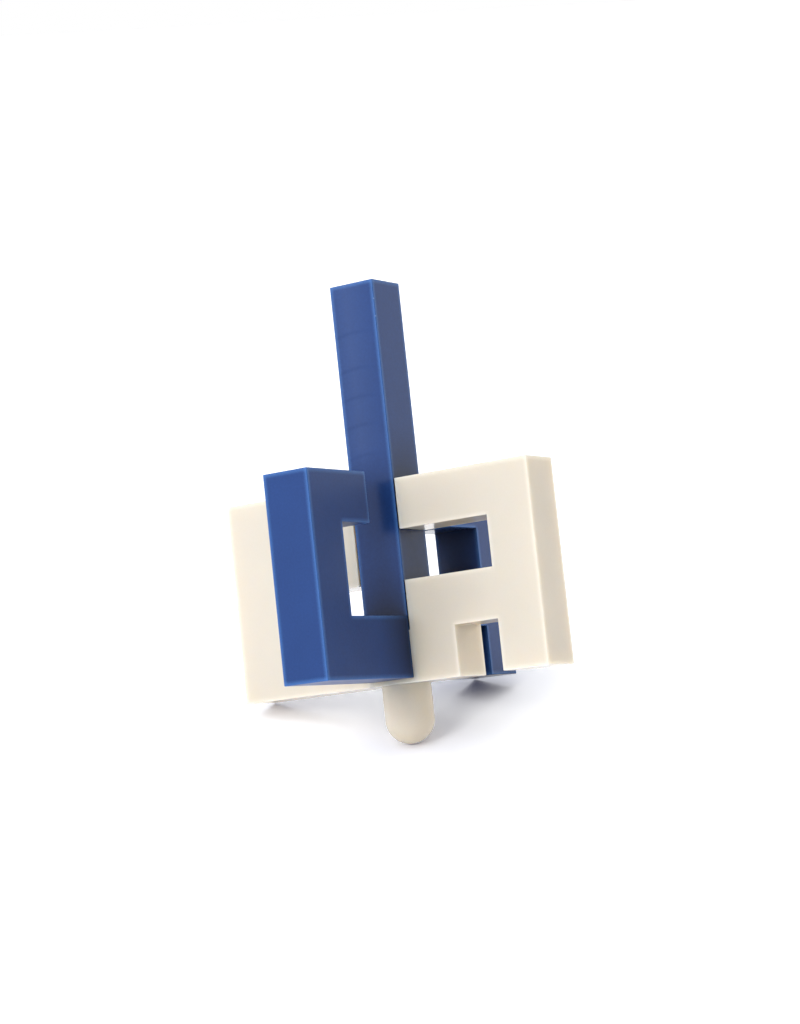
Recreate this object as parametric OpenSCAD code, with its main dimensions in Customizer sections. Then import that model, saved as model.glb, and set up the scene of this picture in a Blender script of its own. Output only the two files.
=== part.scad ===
// Spinning top with four letter-shaped fins, in blue and ivory plastic.
// The letters are drawn on a square grid, three cells wide and four cells high.
// Z is the spin axis, and the lowest point of the round tip is the origin.

/* [Bar and grid] */
// Side of the square stem, and thickness of the hub and of every letter
bar_side = 8; // [6:0.5:12]
// Side of one square cell of the grid that the letters are drawn on
cell = 8; // [6:0.5:12]
// Width of the bevel along the outside edges
edge_bevel = 0.15; // [0.1:0.05:0.6]

/* [Stem] */
// Height of the finger stem above the blue letters
stem_rise = 31; // [15:1:60]

/* [Letters] */
// Height by which the blue letters stand above the ivory ones
blue_lift = 0.75; // [0:0.05:1.5]
// Distance from the stem to the outer side of the short leg of the Hei
hei_leg_x = 8.3; // [5:0.1:10]
// Width of the upright of the Nun
nun_upright_w = 8.3; // [5:0.1:10]
// Height by which the foot bar of the Nun laps up beside the stem
nun_lap_h = 2.25; // [1:0.05:4]

/* [Hub and tip] */
// Height by which the hub stands above the foot row of the ivory letters
hub_over_h = 0.2; // [0:0.05:0.6]
// Diameter of the spinning tip
tip_d = 7.8; // [4:0.1:7.8]
// Height of the ivory letters above the lowest point of the tip
tip_len = 9.3; // [6:0.1:20]
// Diameter of the peg that carries on from the tip through the hub
peg_d = 3.2; // [2:0.1:3.2]
// Length of the peg inside the stem
peg_in_stem = 4.5; // [2:0.5:10]

/* [Joints] */
// Thickness of the tongue on the root of each letter
tongue_t = 4; // [2:0.1:4]
// Height of each tongue
tongue_h = 4; // [2:0.1:5]
// Length of each tongue
tongue_len = 1; // [0.5:0.1:1]
// Play on each side of a tongue or of the peg
joint_play = 0.05; // [0.02:0.01:0.15]
// Gap between the ivory letters and the stem
stem_gap = 0.2; // [0.1:0.05:0.4]

/* [Hidden] */
$fn = 96;

blue = "#2a4c97";
ivory = "#ece4d6";

// Length that a cutter runs past the face it cuts, or a tongue into its letter
overrun = 0.5;

// Grid of the letters: across from the stem, and up from the foot
letter_w = 3 * cell;
letter_h = 4 * cell;
row_1 = cell;
row_2 = 2 * cell;
row_3 = 3 * cell;
column_1 = cell;
column_2 = 2 * cell;

// Heights above the lowest point of the tip
ivory_z = tip_len;
blue_z = tip_len + blue_lift;
hub_h = cell + hub_over_h;
foot_z = ivory_z + hub_h;
tongue_z = ivory_z + (hub_h - tongue_h) / 2;
stem_len = blue_z + letter_h + stem_rise - foot_z;

// The hub is as wide as the room between the roots of the ivory letters
hub_w = bar_side + 2 * stem_gap;

nun_foot_h = foot_z - blue_z + nun_lap_h;
nun_upright_x = letter_w - nun_upright_w;

// Every outline runs counterclockwise, and its last side is the root of the letter
hei_outline = [
    [stem_gap, 0],
    [hei_leg_x, 0],
    [hei_leg_x, row_1],
    [column_2, row_1],
    [column_2, 0],
    [letter_w, 0],
    [letter_w, letter_h],
    [stem_gap, letter_h],
    [stem_gap, row_3],
    [column_2, row_3],
    [column_2, row_2],
    [stem_gap, row_2],
];
pei_outline = [
    [stem_gap, 0],
    [letter_w, 0],
    [letter_w, letter_h],
    [stem_gap, letter_h],
    [stem_gap, row_2],
    [column_1, row_2],
    [column_1, row_3],
    [column_2, row_3],
    [column_2, row_1],
    [stem_gap, row_1],
];
nun_outline = [
    [0, 0],
    [letter_w, 0],
    [letter_w, letter_h],
    [column_1, letter_h],
    [column_1, row_3],
    [nun_upright_x, row_3],
    [nun_upright_x, nun_foot_h],
    [0, nun_foot_h],
];
gimel_outline = [
    [0, 0],
    [column_1, 0],
    [column_1, row_1],
    [column_2, row_1],
    [column_2, 0],
    [letter_w, 0],
    [letter_w, letter_h],
    [column_1, letter_h],
    [column_1, row_3],
    [column_2, row_3],
    [column_2, row_2],
    [0, row_2],
];
stem_outline = [
    [bar_side / 2, 0],
    [bar_side / 2, stem_len],
    [-bar_side / 2, stem_len],
    [-bar_side / 2, 0],
];

// Each letter's turn about the spin axis, with its outline
hei_seat = [0, hei_outline];
gimel_seat = [90, gimel_outline];
pei_seat = [180, pei_outline];
nun_seat = [270, nun_outline];

// Side i of an outline, from its point i to the next, and the direction of that side
function side_of(outline, i) =
    let (n = len(outline))
    outline[(i + 1) % n] - outline[i % n];
function along(outline, i) = side_of(outline, i) / norm(side_of(outline, i));
// Direction into the plate, square to side i
function inward(outline, i) = [-along(outline, i)[1], along(outline, i)[0]];
// True where an outline turns left at point i, which is an outside corner
function outside_corner(outline, i) =
    cross(side_of(outline, i + len(outline) - 1), side_of(outline, i)) > 0;

// Outline with its outside corners cut, as pairs of a point and the bevel of the side after it.
// The last side, which meets another piece, stays sharp.
function cut_corners(outline) = [
    for (i = [0 : len(outline) - 1])
        let (
            last = i == len(outline) - 1,
            bevel = last ? 0 : edge_bevel,
            cut = i > 0 && !last && outside_corner(outline, i)
        )
        each cut
            ? [
                [outline[i] - edge_bevel * along(outline, i - 1), edge_bevel],
                [outline[i] + edge_bevel * along(outline, i), edge_bevel],
            ]
            : [[outline[i], bevel]]
];

// Outline with each side moved inward by its own bevel
function inset(outline, bevels) = [
    for (i = [0 : len(outline) - 1])
        let (
            before = (i + len(outline) - 1) % len(outline),
            u = inward(outline, before),
            v = inward(outline, i)
        )
        outline[i] + [
            bevels[before] * v[1] - bevels[i] * u[1],
            bevels[i] * u[0] - bevels[before] * v[0],
        ] / cross(u, v)
];

// True where the corner at place k of a loop can be cut off, with no other point inside it
function is_ear(points, loop, k) =
    let (
        n = len(loop),
        a = points[loop[(k + n - 1) % n]],
        b = points[loop[k]],
        c = points[loop[(k + 1) % n]],
        inside = [
            for (j = [2 : n - 2])
                let (p = points[loop[(k + j) % n]])
                if (cross(b - a, p - a) >= 0 && cross(c - b, p - b) >= 0 && cross(a - c, p - c) >= 0) p
        ]
    )
    cross(b - a, c - b) > 0 && len(inside) == 0;

// Triangles that fill a loop, cut off one corner after another
function triangles(points, loop) = len(loop) < 3 ? [] :
    let (
        n = len(loop),
        k = [for (i = [0 : n - 1]) if (is_ear(points, loop, i)) i][0],
        rest = [for (i = [0 : n - 1]) if (i != k) loop[i]]
    )
    [[loop[(k + n - 1) % n], loop[k], loop[(k + 1) % n]], each triangles(points, rest)];

// Plate with an outline and bevelled edges, as thick as the bar and centred on its thickness
module bevelled_plate(outline) {
    pairs = cut_corners(outline);
    full = [for (pair = pairs) pair[0]];
    small = inset(full, [for (pair = pairs) pair[1]]);
    face_z = bar_side / 2;
    rings = [
        [small, -face_z],
        [full, edge_bevel - face_z],
        [full, face_z - edge_bevel],
        [small, face_z],
    ];
    n = len(full);
    top = (len(rings) - 1) * n;
    cap = triangles(small, [for (i = [0 : n - 1]) i]);
    polyhedron(
        points = [for (ring = rings) for (point = ring[0]) concat(point, ring[1])],
        faces = [
            each cap,
            for (k = [0 : len(rings) - 2])
                for (i = [0 : n - 1])
                    [k * n + i, (k + 1) * n + i, (k + 1) * n + (i + 1) % n, k * n + (i + 1) % n],
            for (face = cap)
                [for (i = [2 : -1 : 0]) top + face[i]],
        ]
    );
}

// Space of the tongue of a letter on its seat, which grows by play into its mortise
module tongue(seat, play) {
    root_x = bar_side / 2 + seat[1][0][0];
    rotate(seat[0])
        translate([root_x - tongue_len - play, -tongue_t / 2 - play, tongue_z - play])
        cube([tongue_len + play + overrun, tongue_t + 2 * play, tongue_h + 2 * play]);
}

// Letter on its seat beside the stem and the hub, with the tongue that holds it there
module letter_fin(seat, z) {
    rotate(seat[0])
        translate([bar_side / 2, 0, z])
        rotate([90, 0, 0])
        bevelled_plate(seat[1]);
    tongue(seat, 0);
}

// Finger stem, whose foot sits on the hub and takes the end of the peg
module stem() {
    color(blue)
        difference() {
            translate([0, 0, foot_z])
                rotate([90, 0, 0])
                bevelled_plate(stem_outline);
            translate([0, 0, foot_z - overrun])
                cylinder(d = peg_d + 2 * joint_play, h = peg_in_stem + joint_play + overrun);
        }
}

// Block between the four foot rows, with a mortise in each side and a bore for the peg
module hub() {
    color(ivory)
        difference() {
            translate([-hub_w / 2, -bar_side / 2, ivory_z])
                cube([hub_w, bar_side, hub_h]);
            for (seat = [hei_seat, gimel_seat, pei_seat, nun_seat])
                tongue(seat, joint_play);
            translate([0, 0, ivory_z - overrun])
                cylinder(d = peg_d + 2 * joint_play, h = hub_h + 2 * overrun);
            for (side = [-1, 1])
                translate([0, side * bar_side / 2, ivory_z])
                rotate([45, 0, 0])
                cube([hub_w + 2 * overrun, edge_bevel * sqrt(2), edge_bevel * sqrt(2)], center = true);
        }
}

// Round-ended tip, turned in one piece with the peg that pins the hub to the stem
module spin_tip() {
    color(ivory) {
        translate([0, 0, tip_d / 2])
            sphere(d = tip_d);
        translate([0, 0, tip_d / 2])
            cylinder(d = tip_d, h = tip_len - tip_d / 2);
        translate([0, 0, tip_len - overrun])
            cylinder(d = peg_d, h = overrun + hub_h + peg_in_stem);
    }
}

module nun_fin() {
    color(blue)
        letter_fin(nun_seat, blue_z);
}

module gimel_fin() {
    color(blue)
        letter_fin(gimel_seat, blue_z);
}

module hei_fin() {
    color(ivory)
        letter_fin(hei_seat, ivory_z);
}

module pei_fin() {
    color(ivory)
        letter_fin(pei_seat, ivory_z);
}

stem();
hub();
spin_tip();
nun_fin();
gimel_fin();
hei_fin();
pei_fin();
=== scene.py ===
import math

import bmesh
import bpy
from mathutils import Matrix, Vector


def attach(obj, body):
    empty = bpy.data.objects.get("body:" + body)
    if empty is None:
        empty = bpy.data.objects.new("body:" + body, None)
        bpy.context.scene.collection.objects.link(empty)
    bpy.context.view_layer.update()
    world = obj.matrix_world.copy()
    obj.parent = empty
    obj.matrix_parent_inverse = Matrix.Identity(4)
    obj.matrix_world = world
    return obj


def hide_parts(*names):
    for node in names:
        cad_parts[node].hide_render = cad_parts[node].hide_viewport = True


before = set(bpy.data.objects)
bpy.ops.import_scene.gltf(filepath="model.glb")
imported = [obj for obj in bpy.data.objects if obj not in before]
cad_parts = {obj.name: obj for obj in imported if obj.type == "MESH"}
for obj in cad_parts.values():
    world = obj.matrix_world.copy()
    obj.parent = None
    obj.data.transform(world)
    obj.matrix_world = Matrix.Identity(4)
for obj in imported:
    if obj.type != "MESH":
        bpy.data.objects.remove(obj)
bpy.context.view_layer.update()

scene = bpy.context.scene
mm = 0.001
print("dreidel: frame loaded")


class Value:
    # a node's output, which adds Math nodes where it is used in a sum
    def __init__(self, shader, socket):
        self.shader = shader
        self.socket = socket

    def math(self, operation, first, second=0.0):
        return self.shader.add("ShaderNodeMath", {"operation": operation}, {0: first, 1: second})

    def __add__(self, other):
        return self.math("ADD", self, other)

    def __radd__(self, other):
        return self.math("ADD", other, self)

    def __sub__(self, other):
        return self.math("SUBTRACT", self, other)

    def __rsub__(self, other):
        return self.math("SUBTRACT", other, self)

    def __mul__(self, other):
        return self.math("MULTIPLY", self, other)

    def __rmul__(self, other):
        return self.math("MULTIPLY", other, self)

    def __pow__(self, other):
        return self.math("POWER", self, other)

    def __rpow__(self, other):
        return self.math("POWER", other, self)

    def unsigned(self):
        return self.math("ABSOLUTE", self)

    def atLeast(self, lowest):
        return self.math("MAXIMUM", self, lowest)

    def clamped(self):
        return self.shader.add("ShaderNodeClamp", {}, {"Value": self})


class Shader:
    def __init__(self, owner):
        self.owner = owner
        owner.use_nodes = True
        self.nodes = owner.node_tree.nodes
        self.links = owner.node_tree.links
        self.nodes.clear()

    def add(self, kind, settings, inputs, output=0):
        node = self.nodes.new(kind)
        for key, value in settings.items():
            setattr(node, key, value)
        for key, value in inputs.items():
            if isinstance(value, Value):
                self.links.new(value.socket, node.inputs[key])
            else:
                node.inputs[key].default_value = value
        return None if output is None else Value(self, node.outputs[output])

    def place(self):
        return self.add("ShaderNodeTexCoord", {}, {}, "Object")

    def along(self, axis):
        return self.add("ShaderNodeSeparateXYZ", {}, {0: self.place()}, axis)

    def distance(self, point):
        return self.add("ShaderNodeVectorMath", {"operation": "DISTANCE"},
                        {0: self.place(), 1: point}, "Value")

    def occlusion(self, reach, settings):
        # one where nothing stands within reach, less in pockets
        return self.add("ShaderNodeAmbientOcclusion", settings, {"Distance": reach}, "AO")

    def noise(self, size, detail, seed):
        # mottling of one size in mm, moved by its seed so that no two patterns coincide
        moved = self.add("ShaderNodeVectorMath", {"operation": "ADD"},
                         {0: self.place(), 1: (seed, seed, seed)})
        return self.add("ShaderNodeTexNoise", {},
                        {"Vector": moved, "Scale": 1 / (size * mm), "Detail": detail})

    def mix(self, factor, first, second):
        # a Mix node's colours are its inputs 6 and 7 and its output 2
        return self.add("ShaderNodeMix", {"data_type": "RGBA"}, {0: factor, 6: first, 7: second}, 2)

    def surface(self, shaderOut):
        isWorld = isinstance(self.owner, bpy.types.World)
        kind = "ShaderNodeOutputWorld" if isWorld else "ShaderNodeOutputMaterial"
        self.add(kind, {}, {"Surface": shaderOut}, None)
        return self.owner


# what both plastics share
finish = {
    "samples": 8,                      # rays that look for pockets and thin edges
    "edgeGain": 2.0,
    "cloudDetail": 2.0, "cloudSeed": 0.3,
    "grainDetail": 1.0, "grainSeed": 0.7,
    "waveDetail": 2.0, "waveSeed": 1.1,
    "refraction": 1.45,
    "shine": 0.21,
    "scatterScale": 1.0 * mm,
}
bluePlastic = {
    "body": (0.0132, 0.0435, 0.165),
    "edge": (0.050, 0.140, 0.380),     # painted glow: light that comes out along thin edges
    "edgeReach": 0.8 * mm,
    "cloudSize": 6.0, "clouds": 0.08,  # soft patches: size in mm, share of the colour
    "grainSize": 0.35, "grain": 0.12,  # fine speckle
    "waveSize": 2.5, "wave": 0.008 * mm,
    "roughness": 0.18, "roughnessSpread": 0.06,
    "pocketReach": 9 * mm, "pocket": 1.6,
    "pocketShadeColour": (0.0, 0.0, 0.0),     # painted shade: what the colour turns to deep between the pieces
    "scatter": 0.0,
    "scatterReach": (0.10, 0.22, 0.9),
}
dullBluePlastic = {**bluePlastic, "roughness": 0.36}
ivoryPlastic = {
    "body": (0.606, 0.559, 0.482),
    "edge": (0.73, 0.67, 0.58),
    "edgeReach": 0.8 * mm,
    "cloudSize": 7.0, "clouds": 0.025,
    "grainSize": 0.30, "grain": 0.02,
    "waveSize": 3.0, "wave": 0.008 * mm,
    "roughness": 0.15, "roughnessSpread": 0.06,
    "pocketReach": 9 * mm, "pocket": 1.0,
    # painted warm shade deep between the pieces, standing in for light bounced between ivory faces
    "pocketShadeColour": (0.606, 0.530, 0.400),
    "scatter": 0.6,
    "scatterReach": (5.0, 3.8, 2.6),
}
# faint lines where the stem sank as it cooled, and a pale painted sheen between them, in mm
sinkMarksAndSheen = {
    "heights": (65.2, 59.5, 55.0, 50.5, 45.7),
    "half": 0.5,                       # half width of a line
    "bow": -0.04,
    "depth": 0.065,
    "face": -3.9, "faceSlope": 20,     # only on the side of the stem past this y
    "end": 2.2, "endSlope": 0.35,      # the lines fade out toward this x
    # painted sheen: a pale colour mixed into the stem's upper -Y side, standing in for reflection
    # there
    "paintedSheen": 0.075,
    "sheenColour": (0.20, 0.26, 0.42),
    "sheenFoot": 42.0,
    "sheenMiddle": -1.2,
    "sheenSlope": 0.2,
    "sheenUnderLines": 0.4,             # share of the painted sheen that a line takes away
}
# two small knocks on the corner of the stem, in mm
nicks = {
    "places": ((4.0, -4.0, 69.9), (4.0, -4.0, 67.1)),
    "radius": 0.17,
    "sharpness": 2.0,
    "colour": (0.12, 0.22, 0.44),
}


def plastic(name, values, marksAndSheen=False):
    shader = Shader(bpy.data.materials.new(name))
    # painted glow: thin edges, found by rays inside the piece, turn toward the edge colour
    solid = shader.occlusion(values["edgeReach"],
                             {"samples": finish["samples"], "inside": True, "only_local": True})
    edge = ((1 - solid) * finish["edgeGain"]).clamped()
    clouds = shader.noise(values["cloudSize"], finish["cloudDetail"], finish["cloudSeed"])
    grain = shader.noise(values["grainSize"], finish["grainDetail"], finish["grainSeed"])
    wave = shader.noise(values["waveSize"], finish["waveDetail"], finish["waveSeed"])
    # a noise averages 0.5, so each pattern darkens the colour as much as it lightens it
    share = 1 + (clouds - 0.5) * (2 * values["clouds"]) + (grain - 0.5) * (2 * values["grain"])
    body = shader.mix(edge, (*values["body"], 1), (*values["edge"], 1))
    # painted shade: the colour turns toward the pocket shade colour where ambient occlusion finds
    # pieces close by
    freely = shader.occlusion(values["pocketReach"], {"samples": finish["samples"]})
    body = shader.mix(freely ** values["pocket"], (*values["pocketShadeColour"], 1), body)
    if marksAndSheen:
        lines, paintedSheen = sinkLinesAndSheen(shader)
        share = share - lines
    body = shader.add("ShaderNodeVectorMath", {"operation": "SCALE"}, {0: body, "Scale": share})
    if marksAndSheen:
        # painted sheen on the stem's upper -Y side, standing in for reflection
        body = shader.mix(paintedSheen, body, (*sinkMarksAndSheen["sheenColour"], 1))
        for place in nicks["places"]:
            body = shader.mix(spot(shader, place), body, (*nicks["colour"], 1))
    bump = shader.add("ShaderNodeBump", {},
                      {"Strength": 1.0, "Distance": values["wave"], "Height": wave})
    return shader.surface(shader.add("ShaderNodeBsdfPrincipled", {}, {
        "Base Color": body,
        "Roughness": values["roughness"] + (clouds - 0.5) * values["roughnessSpread"],
        "Normal": bump,
        "IOR": finish["refraction"],
        "Specular IOR Level": finish["shine"],
        "Subsurface Weight": values["scatter"],
        "Subsurface Radius": values["scatterReach"],
        "Subsurface Scale": finish["scatterScale"],
    }))


def sinkLinesAndSheen(shader):
    # how deep the sink lines are at a place on the stem's -Y side, and how strong the painted sheen
    # is
    x, y, z = (shader.along(axis) * (1 / mm) for axis in "XYZ")
    height = z - x * x * sinkMarksAndSheen["bow"]
    depth = 0.0
    for line in sinkMarksAndSheen["heights"]:
        off = (height - line).unsigned()
        depth = depth + (1 - off * (1 / sinkMarksAndSheen["half"])).clamped()
    front = ((sinkMarksAndSheen["face"] - y) * sinkMarksAndSheen["faceSlope"]).clamped()
    side = ((sinkMarksAndSheen["end"] - x) * sinkMarksAndSheen["endSlope"]).clamped()
    above = ((z - sinkMarksAndSheen["sheenFoot"]) * sinkMarksAndSheen["sheenSlope"]).clamped()
    aside = (x - sinkMarksAndSheen["sheenMiddle"]).unsigned()
    above = above * (1 - aside * sinkMarksAndSheen["sheenSlope"]).clamped()
    between = 1 - depth * sinkMarksAndSheen["sheenUnderLines"]
    return depth * front * side * sinkMarksAndSheen["depth"], between * front * above * sinkMarksAndSheen["paintedSheen"]


def spot(shader, place):
    # one inside a small ball round the place, zero outside it
    radius = nicks["radius"] * mm
    away = shader.distance([c * mm for c in place])
    return ((radius - away) * (nicks["sharpness"] / radius)).clamped()


blueMaterial = plastic("blueMouldedPlastic", bluePlastic)
dullMaterial = plastic("dullBluePlastic", dullBluePlastic)   # the Nun shines a little less
stemMaterial = plastic("blueStemPlastic", bluePlastic, marksAndSheen=True)
ivoryMaterial = plastic("ivoryMouldedPlastic", ivoryPlastic)
print("dreidel: plastics made")

bar = 8 * mm
edges = {
    "radius": 0.12 * mm,
    "segments": 3,
    "crease": math.radians(45),        # faces that meet at more than this keep their own normals
    "flatness": 100,                   # how far large faces set the normals of the edges
}
tongue = {"length": 1 * mm, "side": 4 * mm, "middle": 13.4 * mm, "into": 0.5 * mm}


def newMesh(name, bm, material):
    mesh = bpy.data.meshes.new(name)
    bm.to_mesh(mesh)
    bm.free()
    mesh.materials.append(material)
    owner = bpy.data.objects.new(name, mesh)
    scene.collection.objects.link(owner)
    return owner


def newPiece(name, bm, material, node):
    bmesh.ops.recalc_face_normals(bm, faces=bm.faces[:])
    for face in bm.faces:
        face.smooth = True
    for edge in bm.edges:
        if edge.is_manifold and edge.calc_face_angle() > edges["crease"]:
            edge.smooth = False
    piece = newMesh(name, bm, material)
    normals = piece.modifiers.new("flatFaces", "WEIGHTED_NORMAL")
    normals.weight = edges["flatness"]
    normals.keep_sharp = True
    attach(piece, "root")
    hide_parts(node)


def plate(values):
    # upright plate on an outline in mm, whose last side is the root and stays sharp
    foot = values["foot"]
    outline = values["outline"]
    bm = bmesh.new()
    corners = [bm.verts.new((bar / 2 + x * mm, -bar / 2, foot + z * mm)) for x, z in outline]
    face = bm.faces.new(corners)
    grown = bmesh.ops.extrude_face_region(bm, geom=[face])["geom"]
    moved = [v for v in grown if isinstance(v, bmesh.types.BMVert)]
    bmesh.ops.translate(bm, verts=moved, vec=(0, bar, 0))
    bmesh.ops.recalc_face_normals(bm, faces=bm.faces[:])
    ends = [Vector((bar / 2 + x * mm, 0, foot + z * mm)) for x, z in (outline[0], outline[-1])]
    middle = (ends[0] + ends[1]) / 2
    root = min(bm.faces, key=lambda f: (f.calc_center_median() - middle).length)
    soft = [e for e in bm.edges if e not in root.edges[:] and e.calc_face_angle_signed() > 0]
    bmesh.ops.bevel(bm, geom=soft, offset=edges["radius"], offset_type="OFFSET",
                    segments=edges["segments"], profile=0.5, affect="EDGES", material=-1,
                    clamp_overlap=True)
    bmesh.ops.rotate(bm, verts=bm.verts[:], cent=(0, 0, 0),
                     matrix=Matrix.Rotation(values["turn"], 3, "Z"))
    return bm


def letter(name, values, material):
    bm = plate(values)
    rootX = bar / 2 + values["outline"][0][0] * mm
    size = (tongue["length"] + tongue["into"], tongue["side"], tongue["side"])
    middle = (rootX - tongue["length"] + size[0] / 2, 0, tongue["middle"])
    turn = Matrix.Rotation(values["turn"], 4, "Z")
    bmesh.ops.create_cube(bm, size=1,
                          matrix=turn @ Matrix.Translation(middle) @ Matrix.Diagonal((*size, 1)))
    newPiece(name, bm, material, name + "_fin")


heiValues = {
    "foot": 9.3 * mm,
    "turn": 0,
    "outline": [(0.2, 0), (8.3, 0), (8.3, 8), (16, 8), (16, 0), (24, 0), (24, 32),
                (0.2, 32), (0.2, 24), (16, 24), (16, 16), (0.2, 16)],
}
peiValues = {
    "foot": 9.3 * mm,
    "turn": math.radians(180),
    "outline": [(0.2, 0), (24, 0), (24, 32), (0.2, 32), (0.2, 16), (8, 16), (8, 24),
                (16, 24), (16, 8), (0.2, 8)],
}
nunValues = {
    "foot": 10.05 * mm,
    "turn": math.radians(270),
    "outline": [(0, 0), (24, 0), (24, 32), (8, 32), (8, 24), (15.7, 24), (15.7, 9.7), (0, 9.7)],
}
gimelValues = {
    "foot": 10.05 * mm,
    "turn": math.radians(90),
    "outline": [(0, 0), (8, 0), (8, 8), (16, 8), (16, 0), (24, 0), (24, 32), (8, 32),
                (8, 24), (16, 24), (16, 16), (0, 16)],
}
letter("hei", heiValues, ivoryMaterial)
letter("pei", peiValues, ivoryMaterial)
letter("nun", nunValues, dullMaterial)
letter("gimel", gimelValues, blueMaterial)
print("dreidel: letters made")

stemValues = {
    "foot": 17.5 * mm,
    "turn": 0,
    "outline": [(0, 0), (0, 55.55), (-8, 55.55), (-8, 0)],
}
newPiece("fingerStem", plate(stemValues), stemMaterial, "stem")
print("dreidel: stem made")

tipValues = {
    "radius": 3.9 * mm,
    "shoulder": 9.3 * mm,
    "pegRadius": 1.6 * mm,
    "pegEnd": 22 * mm,
    "steps": 96,
    "weld": 0.001 * mm,
}


def spinTip(values):
    bm = bmesh.new()
    radius = values["radius"]
    lowest = bm.verts.new((0, 0, 0))
    # quarter circle about the middle of the round end
    bmesh.ops.spin(bm, geom=[lowest], axis=(0, -1, 0), cent=(0, 0, radius), dvec=(0, 0, 0),
                   angle=math.radians(90), steps=values["steps"] // 4)
    # from its rim up the side, over the shoulder and up the peg
    chain = [max(bm.verts, key=lambda v: v.co.x)]
    for x, z in ((radius, values["shoulder"]), (values["pegRadius"], values["shoulder"]),
                 (values["pegRadius"], values["pegEnd"]), (0, values["pegEnd"])):
        chain.append(bm.verts.new((x, 0, z)))
        bm.edges.new(chain[-2:])
    bmesh.ops.spin(bm, geom=bm.verts[:] + bm.edges[:], axis=(0, 0, 1), cent=(0, 0, 0),
                   dvec=(0, 0, 0), angle=math.radians(360), steps=values["steps"], use_merge=True)
    bmesh.ops.remove_doubles(bm, verts=bm.verts[:], dist=values["weld"])
    newPiece("roundTip", bm, ivoryMaterial, "spin_tip")


spinTip(tipValues)
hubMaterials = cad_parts["hub"].data.materials   # the hub keeps its own surface
hubMaterials.clear()
hubMaterials.append(ivoryMaterial)
print("dreidel: tip and hub made")

floorValues = {
    # the corners of the Pei and the Gimel that rest on it
    "touches": [(-28 * mm, 4 * mm, 9.3 * mm), (-4 * mm, 28 * mm, 10.05 * mm)],
    "size": 1.6,
    "colour": (1.18, 1.20, 1.25),
    "roughness": 0.35,
    "contact": 3 * mm,                 # painted contact shadow: the floor stays darkest this near to where the top rests
    "contactFade": 14 * mm,
    "contactGlow": (0.0, 0.006, 0.045),   # painted blue bounce light that the blue letters pass on
    "glow": (0.15, 0.15, 0.155),
    "farGlow": (0.30, 0.30, 0.30),
    "near": 0.045, "far": 0.16,        # where the far glow starts and is whole
}


def floorNormal(values):
    # the plane through both corners that the ball of the tip stands on
    radius = tipValues["radius"]
    ball = Vector((0, 0, radius))
    first, second = (Vector(corner) for corner in values["touches"])
    along = (second - first).normalized()
    across = (ball - first) - along * (ball - first).dot(along)
    upward = across.cross(along).normalized()
    lean = math.asin(radius / across.length)
    return upward * math.cos(lean) + across.normalized() * math.sin(lean)


def makeFloor(values):
    normal = floorNormal(values)
    foot = Vector((0, 0, tipValues["radius"])) - normal * tipValues["radius"]
    shader = Shader(bpy.data.materials.new("paleFloor"))
    away = (shader.distance((0, 0, 0)) - values["near"]) * (1 / (values["far"] - values["near"]))
    # painted contact shadow: near the resting corners and the foot of the tip the floor's glow
    # turns to the contact glow
    free = 1.0
    for point in (*values["touches"], foot):
        gap = shader.distance(point) - values["contact"]
        free = (gap * (1 / values["contactFade"])).clamped() * free
    glow = shader.mix(free, (*values["contactGlow"], 1), (*values["glow"], 1))
    glow = shader.mix(away.clamped(), glow, (*values["farGlow"], 1))
    face = shader.add("ShaderNodeBsdfPrincipled", {}, {
        "Base Color": (*values["colour"], 1),
        "Roughness": values["roughness"],
        "Emission Color": glow,
        "Emission Strength": 1.0,
    })
    # clear from below, so that a low view sees the top
    back = shader.add("ShaderNodeNewGeometry", {}, {}, "Backfacing")
    clear = shader.add("ShaderNodeBsdfTransparent", {}, {})
    material = shader.surface(shader.add("ShaderNodeMixShader", {}, {0: back, 1: face, 2: clear}))
    bm = bmesh.new()
    turn = normal.to_track_quat("Z", "Y").to_matrix().to_4x4()
    bmesh.ops.create_grid(bm, x_segments=1, y_segments=1, size=values["size"] / 2,
                          matrix=Matrix.Translation(foot) @ turn)
    newMesh("studioFloor", bm, material)


makeFloor(floorValues)
print("dreidel: floor made")

tentValues = {
    "backdrop": (1.0, 1.0, 1.0),
    "dim": (0.06, 0.06, 0.06),
    # direction, how narrow, and the light's colour times its strength
    "boxes": [
        ((0.52, 0.85, 0.15), 6.0, (1.55, 1.56, 1.50)),     # white wall behind on the right
        ((-0.52, -0.85, 0.15), 7.0, (0.28, 0.28, 0.28)),   # white wall on the left of the camera
        ((-0.35, -0.60, 0.70), 4.0, (0.15, 0.15, 0.15)),   # soft box high on the left
        ((0.10, -0.20, 0.97), 3.0, (1.70, 1.70, 1.70)),    # soft box overhead
    ],
}
# a mirrored card shows in the glossy faces, the others only light them; places in m
leftCard = {"place": (-0.12, -0.495, 0.238), "width": 0.6, "height": 0.5, "watts": 1.63,
            "colour": (1, 1, 1), "mirrored": True}
keyCard = {"place": (0.03, -0.50, 0.058), "width": 0.16, "height": 0.16, "watts": 0.86,
           "colour": (1, 1, 1), "mirrored": False}
fillCard = {"place": (0.35, 0.35, 0.09), "width": 0.3, "height": 0.3, "watts": 0.61,
            "colour": (1.0, 0.84, 0.62), "mirrored": False}
cardAim = (0, 0, 0.03)


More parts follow.
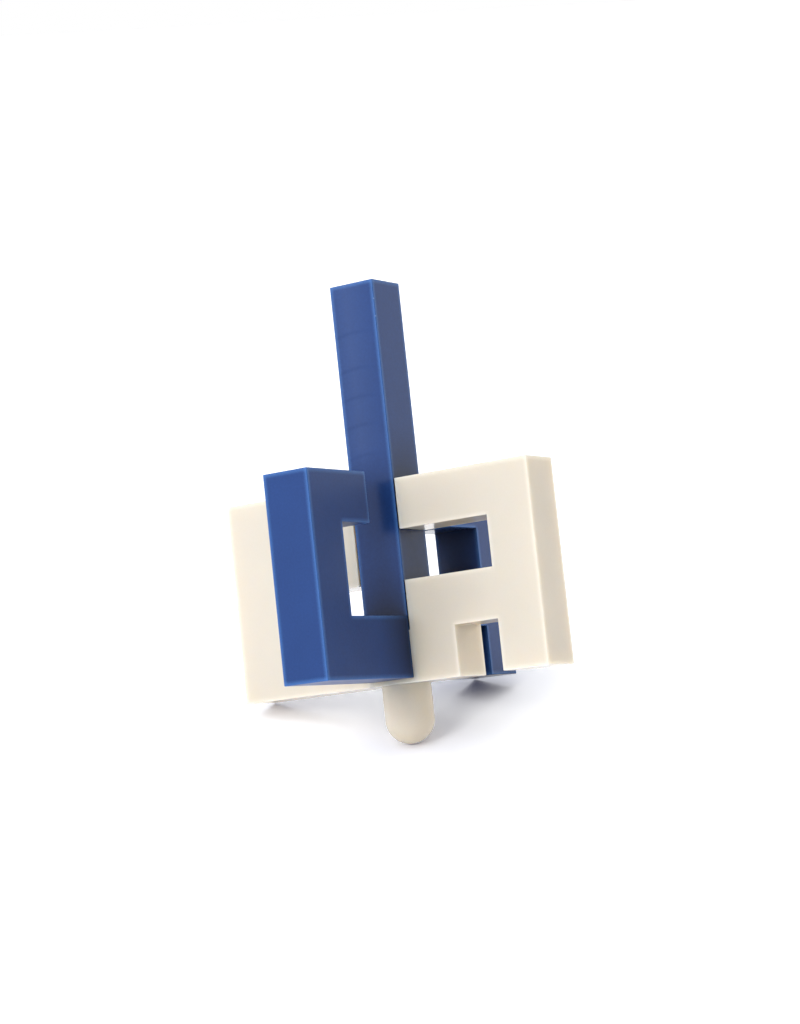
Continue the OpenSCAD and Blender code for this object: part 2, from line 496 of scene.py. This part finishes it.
def makeTent(values):
    world = bpy.data.worlds.new("whiteTent")
    scene.world = world
    tent = Shader(world)
    towards = tent.add("ShaderNodeTexCoord", {}, {}, "Generated")
    glow = values["dim"]
    for direction, narrow, colour in values["boxes"]:
        facing = tent.add("ShaderNodeVectorMath", {"operation": "DOT_PRODUCT"},
                          {0: towards, 1: Vector(direction).normalized()}, "Value")
        lit = facing.atLeast(0.0) ** narrow
        glow = tent.add("ShaderNodeVectorMath", {"operation": "MULTIPLY_ADD"},
                        {0: lit, 1: colour, 2: glow})
    seen = tent.add("ShaderNodeLightPath", {}, {}, "Is Camera Ray")
    colour = tent.mix(seen, glow, (*values["backdrop"], 1))
    tent.surface(tent.add("ShaderNodeBackground", {}, {"Color": colour}))


def makeCard(name, values):
    # lit card, aimed at the letters
    light = bpy.data.lights.new(name, "AREA")
    light.shape = "RECTANGLE"
    light.size = values["width"]
    light.size_y = values["height"]
    light.energy = values["watts"]
    light.color = values["colour"]
    card = bpy.data.objects.new(name, light)
    scene.collection.objects.link(card)
    facing = Vector(values["place"]) - Vector(cardAim)
    turn = facing.to_track_quat("Z", "Y").to_matrix().to_4x4()
    card.matrix_world = Matrix.Translation(values["place"]) @ turn
    card.visible_camera = False
    card.visible_glossy = values["mirrored"]


makeTent(tentValues)
makeCard("leftCard", leftCard)
makeCard("keyCard", keyCard)
makeCard("fillCard", fillCard)

cameraValues = {
    "place": (237.17 * mm, -380.40 * mm, -8.72 * mm),
    "forward": (-0.52290, 0.84647, 0.10029),
    "up": (0.14233, -0.02929, 0.98939),
    "focal": 2855.9,                   # in pixels of the photograph
    "pixels": 1024,                    # its longer side
    "sensor": 36,
    "nearest": 0.01,
}


def makeCamera(values):
    data = bpy.data.cameras.new("photoCamera")
    data.lens = values["focal"] * values["sensor"] / values["pixels"]
    data.sensor_width = values["sensor"]
    data.clip_start = values["nearest"]
    camera = bpy.data.objects.new("photoCamera", data)
    scene.collection.objects.link(camera)
    forward = Vector(values["forward"]).normalized()
    right = forward.cross(Vector(values["up"])).normalized()
    turned = Matrix((right, right.cross(forward), -forward)).transposed().to_4x4()
    camera.matrix_world = Matrix.Translation(values["place"]) @ turned
    scene.camera = camera


makeCamera(cameraValues)
scene.view_settings.view_transform = "Standard"
print("dreidel: studio made")
